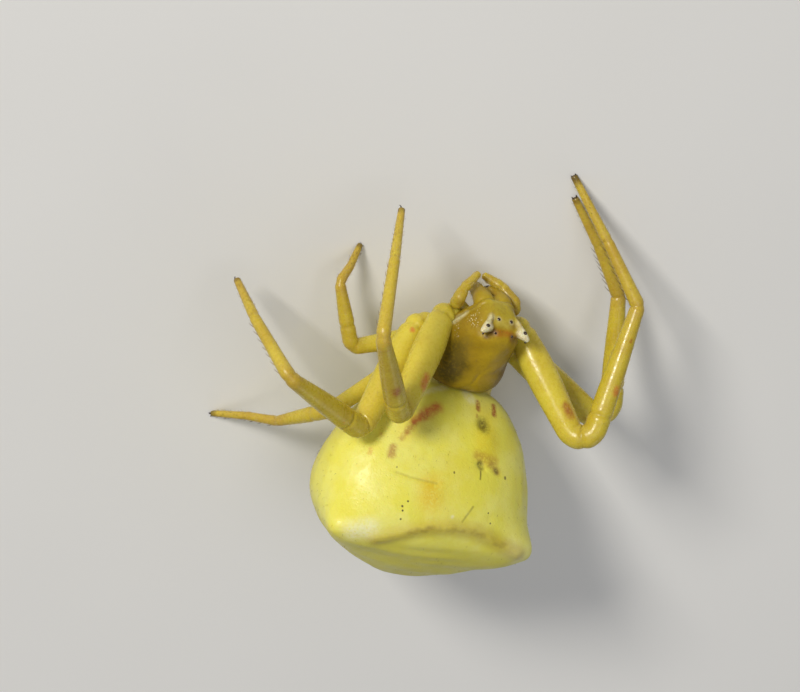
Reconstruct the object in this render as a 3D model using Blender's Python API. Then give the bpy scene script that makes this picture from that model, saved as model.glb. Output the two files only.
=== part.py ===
"""A yellow crab spider at life size, standing on its feet with two front legs raised.

Lengths are in millimetres and are turned into metres when a mesh is made.
The spider faces -Y, its left side is +X, up is +Z and the floor is z = 0.
Points are written as (to its left, to its back, above the floor), or, in a body
form's own axes, as (to the left, to the back, up) from that form's middle.
"""

import math

import bmesh
import bpy
from mathutils import Matrix, Vector

MM = 0.001

# The gaps left between neighbouring pieces. They are small because the legs
# themselves are only half a millimetre to one millimetre thick.
GAP = 0.10
SMALL_GAP = 0.03

# The middle of the whole outline, which is moved onto the origin.
MIDDLE_X = 1.44
MIDDLE_Y = 1.58

# How high the edge of the carapace stands above the floor.
BODY_HEIGHT = 2.2

# The carapace, head and chest in one piece.
CHEST_LENGTH = 3.2
CHEST_MIDDLE = (0.17, -0.15, BODY_HEIGHT)
CHEST_YAW = -5.0
CHEST_RINGS = 24
CHEST_SIDES = 36

# The abdomen, carried high behind and tipped up at the rear.
ABDOMEN_LENGTH = 6.4
ABDOMEN_MIDDLE = (0.58, 4.60, BODY_HEIGHT + 1.2)
ABDOMEN_PITCH = 25.0
ABDOMEN_YAW = -2.0
ABDOMEN_RINGS = 30
ABDOMEN_SIDES = 44

# The two blunt corners at the rear of the abdomen.
CORNER_PLACE = 0.5
CORNER_TURN = 40.0
CORNER_LIFT = 0.65

# Each body form is a row of sections from its front, at -1, to its rear, at 1.
# The width is from the middle to one side. "square" below 1 makes the sections
# squarer than an ellipse, and "lean" draws the sides in towards the top.
CHEST_FORM = {
    "length": CHEST_LENGTH,
    "width": [(-1.0, 0.80), (-0.7, 0.90), (-0.3, 1.19), (0.2, 1.32), (0.6, 1.43), (1.0, 1.50)],
    "top": [(-1.0, 1.50), (-0.7, 1.53), (-0.3, 1.25), (0.3, 1.10), (0.7, 1.05), (1.0, 0.85)],
    "bottom": [(-1.0, 0.2), (-0.6, 0.5), (0.0, 0.82), (0.6, 0.8), (1.0, 0.6)],
    "round_front": 0.60,
    "round_rear": 0.26,
    "square": 0.80,
    "lean": [(-1.0, -0.40), (-0.6, 0.0), (-0.1, 0.30), (0.4, 0.22), (1.0, 0.0)],
    "corners": [],
}

ABDOMEN_FORM = {
    "length": ABDOMEN_LENGTH,
    "width": [(-1.0, 2.9), (-0.6, 3.15), (0.0, 3.55), (0.4, 3.75), (0.8, 3.7), (1.0, 3.2)],
    "top": [(-1.0, 1.25), (-0.6, 1.70), (0.0, 2.30), (0.4, 2.6), (0.7, 2.4), (1.0, 1.6)],
    "bottom": [(-1.0, 0.8), (-0.5, 1.8), (0.3, 2.5), (1.0, 1.8)],
    "round_front": 0.62,
    "round_rear": 1.05,
    "square": 0.92,
    "lean": [(-1.0, 0.0), (1.0, 0.0)],
    "corners": [(CORNER_TURN, 1), (180.0 - CORNER_TURN, -1)],
}

# Each leg from inside the chest to the claw: the root, the end of the coxa, the knee,
# the end of the shin, a slight bend in the foot, and the tip. A tip at height 0
# stands on the floor. The two left front legs are held up.
LEGS = {
    "left_1": [
        (0.55, -0.45, 1.70), (1.42, -0.72, 1.72), (3.22, 1.02, 5.05),
        (5.50, -2.72, 6.20), (4.95, -3.95, 3.90), (4.40, -4.50, 2.00),
    ],
    "left_2": [
        (0.55, 0.00, 1.60), (2.05, -0.08, 1.60), (3.80, 2.35, 4.20),
        (7.35, -0.10, 5.30), (8.05, -0.45, 3.00), (8.21, -0.47, 1.19),
    ],
    "left_3": [
        (0.55, 0.38, 1.50), (1.80, 0.66, 1.36), (4.03, 0.96, 1.94),
        (4.90, -0.88, 1.14), (4.50, -1.16, 0.62), (4.16, -1.58, 0.00),
    ],
    "left_4": [
        (0.55, 0.72, 1.52), (1.65, 1.30, 1.55), (4.26, 2.86, 2.79),
        (5.13, 4.55, 1.48), (5.80, 5.05, 0.75), (6.60, 5.70, 0.00),
    ],
    "right_1": [
        (-0.30, -0.45, 1.72), (-1.15, -0.60, 1.78), (-3.30, 1.61, 5.41),
        (-4.18, -2.75, 2.87), (-3.10, -3.95, 1.45), (-1.78, -5.29, 0.00),
    ],
    "right_2": [
        (-0.30, 0.10, 1.58), (-1.32, 0.38, 1.55), (-5.18, 2.16, 2.95),
        (-4.53, -1.70, 0.97), (-3.40, -3.12, 0.52), (-2.15, -4.47, 0.00),
    ],
    "right_3": [
        (-0.25, 0.50, 1.50), (-0.95, 0.98, 1.38), (-1.60, 3.20, 1.00),
        (-2.90, 4.95, 0.92), (-3.30, 5.45, 0.50), (-3.75, 6.00, 0.00),
    ],
    "right_4": [
        (0.00, 0.85, 1.42), (-0.28, 1.66, 1.28), (-0.95, 4.45, 0.85),
        (-2.10, 6.70, 0.95), (-2.55, 7.50, 0.50), (-3.10, 8.40, 0.00),
    ],
}

# Radii of a leg at its root, coxa end, the thickest place of the thigh, knee,
# middle of the shin, end of the shin, bend of the foot and tip.
FRONT_RADII = (0.28, 0.38, 0.50, 0.38, 0.35, 0.26, 0.20, 0.13)
REAR_RADII = (0.26, 0.31, 0.33, 0.28, 0.28, 0.20, 0.16, 0.11)

# How widely a front leg turns at the coxa end, knee, shin end and foot. A rear leg
# turns a little more tightly.
LEG_BENDS = (0.50, 0.48, 0.42, 0.60)
REAR_BEND_SHARE = 0.75
LEG_SIDES = 10
LEG_STEP = 0.6
LEG_PARTS = ("coxa", "thigh", "shin", "foot")

# Pieces of the head in the chest's own axes. The left one is written, and the right
# one is its mirror image, but the two feelers are held differently.
EYE_MOUND = [(0.38, -1.15, 0.88), (0.66, -1.26, 1.12), (0.84, -1.21, 1.25)]
EYE_MOUND_RADII = (0.19, 0.16, 0.07)
JAW = [(0.31, -0.85, 0.05), (0.31, -1.13, -0.45), (0.28, -1.05, -1.22)]
JAW_RADII = (0.30, 0.30, 0.19)
PALPS = {
    "left": [
        (0.62, -0.70, -0.42), (0.95, -0.79, -0.70), (1.19, -1.03, -0.26),
        (1.05, -1.43, -0.52), (0.57, -1.78, -0.97),
    ],
    "right": [
        (0.62, -0.70, -0.42), (0.93, -0.81, -0.62), (0.95, -1.20, -0.50),
        (0.45, -1.43, -1.05), (-0.10, -1.48, -1.40),
    ],
}
PALP_RADII = (0.16, 0.18, 0.215, 0.175, 0.11)
PALP_SPLIT = 0.40

# The eight eyes: a place on the head or on an eye mound, and a radius.
EYES = {
    "front_middle": ((0.22, -1.47, 0.81), 0.065),
    "rear_middle": ((0.29, -1.17, 1.17), 0.055),
    "front_side": ((0.67, -1.41, 1.15), 0.070),
    "rear_side": ((0.76, -1.13, 1.27), 0.055),
}

# The waist between chest and abdomen, and the spinnerets, in the abdomen's own axes.
WAIST_RADIUS = 0.28
SPINNERETS = [(0.0, 2.20, -0.85), (0.0, 2.85, -1.72)]
SPINNERET_RADII = (0.34, 0.17)


def clear_scene():
    for thing in list(bpy.data.objects):
        bpy.data.objects.remove(thing, do_unlink=True)


def make_material(name, colour, roughness, coat=0.0):
    material = bpy.data.materials.new(name)
    material.use_nodes = True
    shader = material.node_tree.nodes["Principled BSDF"]
    shader.inputs["Base Color"].default_value = (*colour, 1.0)
    shader.inputs["Roughness"].default_value = roughness
    shader.inputs["Metallic"].default_value = 0.0
    shader.inputs["Coat Weight"].default_value = coat
    material.diffuse_color = (*colour, 1.0)
    return material


def make_object(name, bm, material):
    """Turns a mesh drawn in millimetres into a named object in metres."""
    bmesh.ops.recalc_face_normals(bm, faces=bm.faces[:])
    for vert in bm.verts:
        vert.co = (vert.co - Vector((MIDDLE_X, MIDDLE_Y, 0.0))) * MM
    mesh = bpy.data.meshes.new(name)
    bm.to_mesh(mesh)
    bm.free()
    mesh.shade_smooth()
    mesh.set_sharp_from_angle(angle=math.radians(50))
    if material is not None:
        mesh.materials.append(material)
    thing = bpy.data.objects.new(name, mesh)
    bpy.context.scene.collection.objects.link(thing)
    return thing


def make_cutter(name, bm):
    cutter = make_object(name, bm, None)
    cutter.hide_render = True
    cutter.display_type = "WIRE"
    return cutter


def cut_by(thing, cutter):
    cut = thing.modifiers.new("meets " + cutter.name, "BOOLEAN")
    cut.operation = "DIFFERENCE"
    cut.solver = "EXACT"
    cut.object = cutter


def eased(table, place):
    """A smooth curve through a short table of (place, value) pairs."""
    places = [row[0] for row in table]
    values = [row[1] for row in table]
    if place <= places[0]:
        return values[0]
    if place >= places[-1]:
        return values[-1]
    last = max(i for i in range(len(places) - 1) if places[i] <= place)
    slopes = []
    for i in (last, last + 1):
        low = max(i - 1, 0)
        high = min(i + 1, len(places) - 1)
        slopes.append((values[high] - values[low]) / (places[high] - places[low]))
    width = places[last + 1] - places[last]
    t = (place - places[last]) / width
    start = values[last] * (2 * t**3 - 3 * t**2 + 1)
    start_slope = slopes[0] * width * (t**3 - 2 * t**2 + t)
    end = values[last + 1] * (3 * t**2 - 2 * t**3)
    end_slope = slopes[1] * width * (t**3 - t**2)
    return start + start_slope + end + end_slope


def signed_power(value, power):
    return math.copysign(abs(value) ** power, value)


def corner_push(form, place, turn):
    """How far the blunt rear corners push a point out: sideways, back and up."""
    push = Vector((0.0, 0.0, 0.0))
    for corner_turn, side in form["corners"]:
        along = (place - CORNER_PLACE) / 0.24
        away = math.remainder(turn - math.radians(corner_turn), 2 * math.pi) / 0.40
        lift = CORNER_LIFT * math.exp(-(along * along + away * away))
        push += Vector((1.25 * side, 0.15, 0.5)) * lift
    return push


def form_point(form, place, turn):
    """A point of a body form in its own axes."""
    rounding = form["round_front"] if place < 0 else form["round_rear"]
    shrink = math.sqrt(max(0.0, 1 - place * place)) ** rounding
    side = signed_power(math.cos(turn), form["square"])
    rise = signed_power(math.sin(turn), form["square"])
    height = eased(form["top"] if rise > 0 else form["bottom"], place)
    narrowed = 1 - eased(form["lean"], place) * max(0.0, rise)
    left = side * eased(form["width"], place) * shrink * narrowed
    back = place * form["length"] / 2
    up = rise * height * shrink
    return Vector((left, back, up)) + corner_push(form, place, turn)


def form_frame(middle, pitch, yaw):
    """Turns a form's own axes into the spider's axes."""
    turned = Matrix.Rotation(math.radians(yaw), 4, "Z")
    tipped = Matrix.Rotation(math.radians(pitch), 4, "X")
    return Matrix.Translation(Vector(middle)) @ turned @ tipped


CHEST_FRAME = form_frame(CHEST_MIDDLE, 0.0, CHEST_YAW)
ABDOMEN_FRAME = form_frame(ABDOMEN_MIDDLE, ABDOMEN_PITCH, ABDOMEN_YAW)


def join_rings(bm, rings):
    """Joins rings of vertices, first to last. A ring of one vertex is a pole."""
    for near, far in zip(rings, rings[1:]):
        if len(near) == 1 or len(far) == 1:
            pole, ring = (near[0], far) if len(near) == 1 else (far[0], near)
            for i in range(len(ring)):
                bm.faces.new((pole, ring[i], ring[(i + 1) % len(ring)]))
            continue
        for i in range(len(near)):
            j = (i + 1) % len(near)
            bm.faces.new((near[i], near[j], far[j], far[i]))


def form_mesh(form, frame, rings, sides, grow=0.0):
    """The closed skin of a body form, grown outwards by the given amount."""
    bm = bmesh.new()
    loops = [[bm.verts.new(frame @ form_point(form, -1.0, 0.0))]]
    for ring in range(1, rings):
        place = -math.cos(math.pi * ring / rings)
        loop = []
        for step in range(sides):
            turn = 2 * math.pi * step / sides
            loop.append(bm.verts.new(frame @ form_point(form, place, turn)))
        loops.append(loop)
    loops.append([bm.verts.new(frame @ form_point(form, 1.0, 0.0))])
    join_rings(bm, loops)
    bmesh.ops.recalc_face_normals(bm, faces=bm.faces[:])
    bm.normal_update()
    normals = [vert.normal.copy() for vert in bm.verts]
    for vert, normal in zip(bm.verts, normals):
        vert.co += normal * grow
    return bm


def rounded_path(corners, bends):
    """A chain of straights and arcs through corner points.

    Returns its points, the distance of each along it and, for each inner corner,
    the distances at which its bend starts and ends.
    """
    corners = [Vector(corner) for corner in corners]
    points = [corners[0]]
    spans = []
    for i in range(1, len(corners) - 1):
        before = (corners[i - 1] - corners[i]).normalized()
        after = (corners[i + 1] - corners[i]).normalized()
        half = before.angle(after) / 2
        reach = bends[i - 1] / math.tan(half)
        out = (before + after).normalized() * bends[i - 1] / math.sin(half)
        start = before * reach - out
        end = after * reach - out
        swing = start.angle(end)
        steps = max(2, math.ceil(math.degrees(swing) / 15))
        first = len(points)
        for step in range(steps + 1):
            share = step / steps
            mixed = start * math.sin((1 - share) * swing) + end * math.sin(share * swing)
            points.append(corners[i] + out + mixed / math.sin(swing))
        spans.append((first, len(points) - 1))
    points.append(corners[-1])
    distances = [0.0]
    for near, far in zip(points, points[1:]):
        distances.append(distances[-1] + (far - near).length)
    return points, distances, [(distances[a], distances[b]) for a, b in spans]


def path_stop(points, distances, wanted):
    """The point, the direction and the distance at a distance along a path."""
    last = len(points) - 2
    for i in range(len(points) - 1):
        if distances[i + 1] >= wanted - 1e-9:
            last = i
            break
    share = (wanted - distances[last]) / (distances[last + 1] - distances[last])
    point = points[last].lerp(points[last + 1], share)
    return point, (points[last + 1] - points[last]).normalized(), wanted


def tube_mesh(stops, thickness, sides, round_tip):
    """A closed tube through stops along a path. Its start is a flat face."""
    bm = bmesh.new()
    side = stops[0][1].orthogonal().normalized()
    rings = []
    for point, direction, distance in stops:
        side = (side - direction * side.dot(direction)).normalized()
        across = direction.cross(side)
        radius = thickness(distance)
        ring = []
        for step in range(sides):
            turn = 2 * math.pi * step / sides
            spoke = side * math.cos(turn) + across * math.sin(turn)
            ring.append(bm.verts.new(point + spoke * radius))
        rings.append(ring)
    bm.faces.new(rings[0])
    if round_tip:
        point, direction, distance = stops[-1]
        rings.append([bm.verts.new(point + direction * thickness(distance) * 0.45)])
    else:
        bm.faces.new(rings[-1])
    join_rings(bm, rings)
    return bm


def simple_tube(corners, bends, radii, sides, round_tip, start=0.0, end=1.0, step=0.14):
    """A tube along rounded corners, with one radius for each corner."""
    points, distances, marks = rounded_path(corners, bends)
    middles = [0.0] + [(a + b) / 2 for a, b in marks] + [distances[-1]]
    table = list(zip(middles, radii))
    count = max(2, round((end - start) * distances[-1] / step))
    stops = []
    for i in range(count + 1):
        share = start + (end - start) * i / count
        stops.append(path_stop(points, distances, share * distances[-1]))
    return tube_mesh(stops, lambda distance: eased(table, distance), sides, round_tip)


def leg_stops(distances, start, end):
    """Distances for a leg's rings: every point of a bend, and even steps between."""
    wanted = [start]
    for distance in distances:
        if start + 0.05 < distance < end - 0.05 and distance - wanted[-1] > 0.05:
            wanted.append(distance)
    wanted.append(end)
    filled = [start]
    for value in wanted[1:]:
        base = filled[-1]
        count = max(1, round((value - base) / LEG_STEP))
        filled += [base + (value - base) * (k + 1) / count for k in range(count)]
    return filled


def leg_thickness(radii, marks, whole):
    """The radius along a leg, as a function of the distance from its root."""
    coxa_end, knee, shin_end, foot_bend = [(a + b) / 2 for a, b in marks]
    table = [
        (0.0, radii[0]),
        (coxa_end, radii[1]),
        (coxa_end + 0.35 * (knee - coxa_end), radii[2]),
        (knee, radii[3]),
        (knee + 0.45 * (shin_end - knee), radii[4]),
        (shin_end, radii[5]),
        (foot_bend, radii[6]),
        (whole, radii[7]),
    ]
    return lambda distance: eased(table, distance)


def cut_flat_on_floor(bm):
    """Cuts off what reaches below the floor and closes it with a flat face."""
    bmesh.ops.recalc_face_normals(bm, faces=bm.faces[:])
    everything = bm.verts[:] + bm.edges[:] + bm.faces[:]
    cut = bmesh.ops.bisect_plane(
        bm, geom=everything, plane_co=(0, 0, 0), plane_no=(0, 0, -1), clear_outer=True
    )
    rim = [edge for edge in cut["geom_cut"] if isinstance(edge, bmesh.types.BMEdge)]
    bmesh.ops.contextual_create(bm, geom=rim)


def make_leg(name, corners, material, chest_cutter):
    """Four pieces, parted on the straight just before each bend."""
    front = name.endswith("1") or name.endswith("2")
    radii = FRONT_RADII if front else REAR_RADII
    share = 1.0 if front else REAR_BEND_SHARE
    on_floor = corners[-1][2] <= 0
    if on_floor:
        onward = (Vector(corners[-1]) - Vector(corners[-2])).normalized()
        corners = [*corners[:-1], Vector(corners[-1]) + onward * 0.3]
    points, distances, marks = rounded_path(corners, [bend * share for bend in LEG_BENDS])
    thickness = leg_thickness(radii, marks, distances[-1])
    cuts = [marks[i][0] - GAP for i in range(3)]
    starts = [0.0] + [cut + GAP / 2 for cut in cuts]
    ends = [cut - GAP / 2 for cut in cuts] + [distances[-1]]
    for part, start, end in zip(LEG_PARTS, starts, ends):
        stops = [path_stop(points, distances, d) for d in leg_stops(distances, start, end)]
        bm = tube_mesh(stops, thickness, LEG_SIDES, part == "foot")
        if part == "foot" and on_floor:
            cut_flat_on_floor(bm)
        thing = make_object(f"leg_{name}_{part}", bm, material)
        if part in ("coxa", "thigh"):
            cut_by(thing, chest_cutter)


def on_side(point, side):
    """A place on the head, on the left for side 1 and on the right for side -1."""
    return CHEST_FRAME @ Vector((point[0] * side, point[1], point[2]))


def make_eyes(word, side, material, chest_cutter, mound_cutter):
    for eye_name, (place, radius) in EYES.items():
        bm = bmesh.new()
        where = Matrix.Translation(on_side(place, side))
        bmesh.ops.create_icosphere(bm, subdivisions=2, radius=radius, matrix=where)
        eye = make_object(f"eye_{eye_name}_{word}", bm, material)
        cut_by(eye, chest_cutter if eye_name.endswith("middle") else mound_cutter)


def make_eye_mound(word, side, material, chest_cutter):
    path = [on_side(point, side) for point in EYE_MOUND]
    bm = simple_tube(path, [0.2], EYE_MOUND_RADII, 12, True, step=0.1)
    cut_by(make_object(f"eye_mound_{word}", bm, material), chest_cutter)
    grown = [radius + SMALL_GAP for radius in EYE_MOUND_RADII]
    bm = simple_tube(path, [0.2], grown, 12, True, step=0.1)
    return make_cutter(f"eye_mound_{word}_cutter", bm)


def make_jaw(word, side, material, chest_cutter):
    path = [on_side(point, side) for point in JAW]
    bm = simple_tube(path, [0.5], JAW_RADII, 14, True)
    cut_by(make_object(f"jaw_{word}", bm, material), chest_cutter)


def make_palp(word, side, material, chest_cutter):
    path = [on_side(point, side) for point in PALPS[word]]
    bends = [0.15, 0.20, 0.20]
    bm = simple_tube(path, bends, PALP_RADII, 10, False, end=PALP_SPLIT)
    cut_by(make_object(f"palp_{word}_thigh", bm, material), chest_cutter)
    bm = simple_tube(path, bends, PALP_RADII, 10, True, start=PALP_SPLIT + SMALL_GAP)
    make_object(f"palp_{word}_shin", bm, material)


def make_waist(material, chest_cutter, abdomen_cutter):
    path = [CHEST_FRAME @ Vector((0, 1.2, -0.25)), ABDOMEN_FRAME @ Vector((0, -2.6, 0.0))]
    bm = simple_tube(path, [], (WAIST_RADIUS, WAIST_RADIUS), 12, False, step=0.3)
    waist = make_object("waist", bm, material)
    cut_by(waist, chest_cutter)
    cut_by(waist, abdomen_cutter)


def make_spinnerets(material, abdomen_cutter):
    path = [ABDOMEN_FRAME @ Vector(point) for point in SPINNERETS]
    bm = simple_tube(path, [], SPINNERET_RADII, 14, True, step=0.2)
    cut_by(make_object("spinnerets", bm, material), abdomen_cutter)


def main():
    clear_scene()
    amber = make_material("carapace_amber", (0.62, 0.46, 0.07), 0.35, 0.3)
    lemon = make_material("abdomen_lemon", (0.84, 0.78, 0.20), 0.45)
    honey = make_material("leg_honey", (0.74, 0.56, 0.10), 0.30, 0.4)
    pale = make_material("mound_white", (0.86, 0.82, 0.62), 0.50)
    black = make_material("eye_black", (0.02, 0.015, 0.01), 0.08, 1.0)
    chest = (CHEST_FORM, CHEST_FRAME, CHEST_RINGS, CHEST_SIDES)
    abdomen = (ABDOMEN_FORM, ABDOMEN_FRAME, ABDOMEN_RINGS, ABDOMEN_SIDES)
    chest_cutter = make_cutter("chest_cutter", form_mesh(*chest, SMALL_GAP))
    abdomen_cutter = make_cutter("abdomen_cutter", form_mesh(*abdomen, SMALL_GAP))
    make_object("carapace", form_mesh(*chest), amber)
    make_object("abdomen", form_mesh(*abdomen), lemon)
    for word, side in (("left", 1), ("right", -1)):
        mound_cutter = make_eye_mound(word, side, pale, chest_cutter)
        make_eyes(word, side, black, chest_cutter, mound_cutter)
        make_jaw(word, side, amber, chest_cutter)
        make_palp(word, side, honey, chest_cutter)
    make_waist(amber, chest_cutter, abdomen_cutter)
    make_spinnerets(lemon, abdomen_cutter)
    for name, corners in LEGS.items():
        make_leg(name, corners, honey, chest_cutter)


main()
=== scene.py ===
"""The looks of a yellow crab spider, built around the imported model.

Lengths are in millimetres and are turned into metres when a mesh is made.
The spider faces -Y, its left side is +X, up is +Z and the floor is z = 0.
Points are written as (to its left, to its back, above the floor), or, in a body
form's own axes, as (to the left, to the back, up) from that form's middle.
A side is 1 for the spider's left and -1 for its right.
"""

import math
import random

import bmesh
import bpy
from mathutils import Matrix, Vector, noise


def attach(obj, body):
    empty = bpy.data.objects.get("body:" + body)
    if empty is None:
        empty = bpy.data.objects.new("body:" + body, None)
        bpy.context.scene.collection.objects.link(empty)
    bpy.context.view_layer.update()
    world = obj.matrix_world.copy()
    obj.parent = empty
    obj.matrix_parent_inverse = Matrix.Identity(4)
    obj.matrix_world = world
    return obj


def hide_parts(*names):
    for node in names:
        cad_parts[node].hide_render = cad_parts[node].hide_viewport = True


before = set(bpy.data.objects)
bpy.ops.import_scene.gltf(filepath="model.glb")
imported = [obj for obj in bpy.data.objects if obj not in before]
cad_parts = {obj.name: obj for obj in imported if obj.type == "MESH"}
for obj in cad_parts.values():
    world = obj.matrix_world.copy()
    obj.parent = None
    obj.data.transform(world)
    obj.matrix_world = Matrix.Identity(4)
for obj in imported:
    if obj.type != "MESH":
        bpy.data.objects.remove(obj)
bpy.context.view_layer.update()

MM = 0.001
TURN = 2 * math.pi
MIDDLE = Vector((1.44, 1.58, 0.0))
BODY_HEIGHT = 2.2

# Where the photograph was taken from: the direction to the camera and the directions
# of the picture's right and top edge, from the middle of the carapace's edge.
CAMERA_AIM = Vector((0.0, 0.0, BODY_HEIGHT))
CAMERA_BACK = Vector((0.424, -0.539, 0.728))
CAMERA_RIGHT = Vector((-0.898, -0.354, 0.261))
CAMERA_UP = Vector((0.117, -0.764, -0.634))
CAMERA_DISTANCE = 150.0
PICTURE_WIDTH = 25.0
PICTURE_MIDDLE = (-2.53, -0.06)
SENSOR_WIDTH = 36.0

# The blunt rear corners of the abdomen: where they are along it and around it, how far
# they spread along and around, how strong they are, and which way they reach.
CORNER_PLACE = 0.5
CORNER_TURN = 40.0
CORNER_LENGTH = 0.24
CORNER_SPREAD = 0.40
CORNER_LIFT = 0.65
CORNER_REACH = (1.25, 0.15, 0.5)

# Body forms. Widths and heights go from the front, at -1, to the rear, at 1.
CHEST_MIDDLE = (0.17, -0.15, BODY_HEIGHT)
CHEST_YAW = -5.0
ABDOMEN_MIDDLE = (0.58, 4.60, BODY_HEIGHT + 1.2)
ABDOMEN_PITCH = 25.0
ABDOMEN_YAW = -2.0
CHEST_FORM = {
    "length": 3.2,
    "width": [(-1.0, 0.80), (-0.7, 0.90), (-0.3, 1.19), (0.2, 1.32), (0.6, 1.43), (1.0, 1.50)],
    "top": [(-1.0, 1.50), (-0.7, 1.53), (-0.3, 1.25), (0.3, 1.10), (0.7, 1.05), (1.0, 0.85)],
    "bottom": [(-1.0, 0.2), (-0.6, 0.5), (0.0, 0.82), (0.6, 0.8), (1.0, 0.6)],
    "round_front": 0.60,
    "round_rear": 0.26,
    "square": 0.80,
    "lean": [(-1.0, -0.40), (-0.6, 0.0), (-0.1, 0.30), (0.4, 0.22), (1.0, 0.0)],
    "corners": [],
}
ABDOMEN_FORM = {
    "length": 6.4,
    "width": [(-1.0, 2.9), (-0.6, 3.15), (0.0, 3.55), (0.4, 3.75), (0.8, 3.7), (1.0, 3.2)],
    "top": [(-1.0, 1.25), (-0.6, 1.70), (0.0, 2.30), (0.4, 2.6), (0.7, 2.4), (1.0, 1.6)],
    "bottom": [(-1.0, 0.8), (-0.5, 1.8), (0.3, 2.5), (1.0, 1.8)],
    "round_front": 0.62,
    "round_rear": 1.05,
    "square": 0.92,
    "lean": [(-1.0, 0.0), (1.0, 0.0)],
    "corners": [(CORNER_TURN, 1), (180.0 - CORNER_TURN, -1)],
}

# The same corners as in the solids: root, coxa's end, knee, shin's end, foot's bend, tip.
LEGS = {
    "left_1": [
        (0.55, -0.45, 1.70), (1.42, -0.72, 1.72), (3.22, 1.02, 5.05),
        (5.50, -2.72, 6.20), (4.95, -3.95, 3.90), (4.40, -4.50, 2.00),
    ],
    "left_2": [
        (0.55, 0.00, 1.60), (2.05, -0.08, 1.60), (3.80, 2.35, 4.20),
        (7.35, -0.10, 5.30), (8.05, -0.45, 3.00), (8.21, -0.47, 1.19),
    ],
    "left_3": [
        (0.55, 0.38, 1.50), (1.80, 0.66, 1.36), (4.03, 0.96, 1.94),
        (4.90, -0.88, 1.14), (4.50, -1.16, 0.62), (4.16, -1.58, 0.00),
    ],
    "left_4": [
        (0.55, 0.72, 1.52), (1.65, 1.30, 1.55), (4.26, 2.86, 2.79),
        (5.13, 4.55, 1.48), (5.80, 5.05, 0.75), (6.60, 5.70, 0.00),
    ],
    "right_1": [
        (-0.30, -0.45, 1.72), (-1.15, -0.60, 1.78), (-3.30, 1.61, 5.41),
        (-4.18, -2.75, 2.87), (-3.10, -3.95, 1.45), (-1.78, -5.29, 0.00),
    ],
    "right_2": [
        (-0.30, 0.10, 1.58), (-1.32, 0.38, 1.55), (-5.18, 2.16, 2.95),
        (-4.53, -1.70, 0.97), (-3.40, -3.12, 0.52), (-2.15, -4.47, 0.00),
    ],
    "right_3": [
        (-0.25, 0.50, 1.50), (-0.95, 0.98, 1.38), (-1.60, 3.20, 1.00),
        (-2.90, 4.95, 0.92), (-3.30, 5.45, 0.50), (-3.75, 6.00, 0.00),
    ],
    "right_4": [
        (0.00, 0.85, 1.42), (-0.28, 1.66, 1.28), (-0.95, 4.45, 0.85),
        (-2.10, 6.70, 0.95), (-2.55, 7.50, 0.50), (-3.10, 8.40, 0.00),
    ],
}
LEG_BENDS = (0.50, 0.48, 0.42, 0.60)
REAR_BEND_SHARE = 0.75
LEG_PARTS = ("coxa", "thigh", "shin", "foot")
# Radii at the root, coxa's end, thigh, knee, shin, shin's end, foot's bend and tip.
FRONT_RADII = (0.28, 0.38, 0.50, 0.38, 0.35, 0.26, 0.20, 0.13)
REAR_RADII = (0.26, 0.31, 0.33, 0.28, 0.28, 0.20, 0.16, 0.11)
# The skin is a little slimmer than the solids towards the foot.
FRONT_SLIMMING = (1.0, 1.0, 1.0, 1.0, 0.97, 0.88, 0.85, 0.85)
REAR_SLIMMING = (1.0, 0.94, 0.88, 0.86, 0.82, 0.80, 0.80, 0.85)
LEG_SIDES = 32
LEG_STEP = 0.045
# Legs whose tips are dark with short hairs.
DARK_TIPPED = ("left_3", "left_4", "right_1", "right_2")

# Pieces of the head in the chest's own axes, on the left.
EYE_MOUND = [(0.38, -1.15, 0.88), (0.66, -1.26, 1.12), (0.84, -1.21, 1.25)]
EYE_MOUND_RADII = (0.19, 0.16, 0.07)
# The chalky stretch of a mound, on its front and outer side.
MOUND_CHALK = [(0.62, -1.31, 1.09), (0.87, -1.25, 1.24)]
# A brow runs from each eye mound down the face. The jaws stand a little further forward
# than the solid ones, so that face and jaws are one surface.
BROW = [(0.64, -1.31, 1.05), (0.49, -1.44, 0.78), (0.38, -1.47, 0.50)]
BROW_RADII = (0.13, 0.09, 0.06)
JAW = [(0.30, -1.24, 0.05), (0.31, -1.27, -0.42), (0.28, -1.11, -1.20)]
JAW_RADII = (0.36, 0.32, 0.20)
# The soft skin that fills the upper part of the cleft between the jaws.
BETWEEN_JAWS = [(0.0, -1.28, 0.0), (0.0, -1.28, -0.30), (0.0, -1.20, -0.62)]
BETWEEN_JAWS_RADII = (0.26, 0.22, 0.10)
FANG = [(0.28, -1.05, -1.17), (0.26, -1.11, -1.37), (0.18, -1.03, -1.44), (0.11, -0.95, -1.42)]
FANG_RADII = (0.075, 0.06, 0.035)
PALPS = {
    "left": [
        (0.62, -0.70, -0.42), (0.95, -0.79, -0.70), (1.19, -1.03, -0.26),
        (1.05, -1.43, -0.52), (0.57, -1.78, -0.97),
    ],
    "right": [
        (0.62, -0.70, -0.42), (0.93, -0.81, -0.62), (0.95, -1.20, -0.50),
        (0.45, -1.43, -1.05), (-0.10, -1.48, -1.40),
    ],
}
PALP_RADII = (0.16, 0.18, 0.215, 0.175, 0.11)
WAIST_RADIUS = 0.28
# Each eye: its place and radius, the point inside the head that its lens is sunk
# towards, and how deep the lens is and its size, both as shares of the radius.
EYES = {
    "front_middle": ((0.22, -1.47, 0.81), 0.065, (0.20, -1.00, 0.70), 0.28, 1.00),
    "rear_middle": ((0.29, -1.17, 1.17), 0.055, (0.25, -1.10, 0.60), 0.30, 0.78),
    "front_side": ((0.67, -1.41, 1.15), 0.070, (0.62, -1.22, 1.08), 0.42, 0.92),
    "rear_side": ((0.76, -1.13, 1.27), 0.055, (0.72, -1.25, 1.15), 0.15, 0.68),
}
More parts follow.
